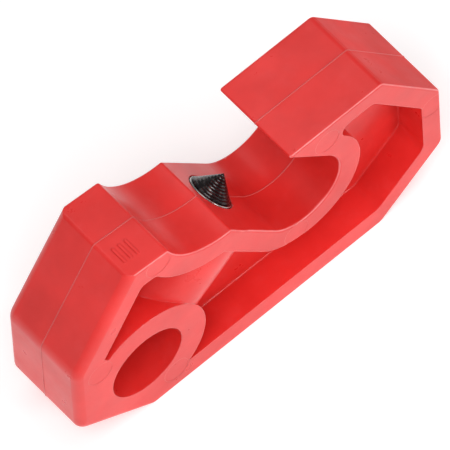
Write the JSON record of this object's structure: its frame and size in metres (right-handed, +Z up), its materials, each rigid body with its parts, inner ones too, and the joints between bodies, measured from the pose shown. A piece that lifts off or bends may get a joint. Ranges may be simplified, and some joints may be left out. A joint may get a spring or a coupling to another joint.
{
  "type": "ski edge deburring hand tool",
  "caption": "Moulded hook-shaped hand tool with a finger hole and an adjustable cone-point cutter facing its U-shaped edge slot.",
  "frame": {"origin": "centre of the bottom of the bounding box, on the base flat in the middle of the thickness", "axes": "+X along the tool from the heel to the toe, +Y through the thickness to the rear face, +Z up from the base flat"},
  "size_m": [0.1128, 0.025, 0.0623],
  "materials": {
    "red_plastic": "semi-gloss injection-moulded",
    "brass": "machined, knurled outside",
    "black_steel": "black oxide, turning grooves on the point"
  },
  "bodies": {
    "handle": {"body": "red_plastic", "thread_insert": "brass"},
    "cutter": {"cutter_screw": "black_steel"}
  },
  "joints": [
    {"name": "cutter_feed", "type": "slide", "parent": "handle", "child": "cutter", "axis": [0.7848, 0, 0.6198], "range_m": [-0.006, 0.003]}
  ]
}
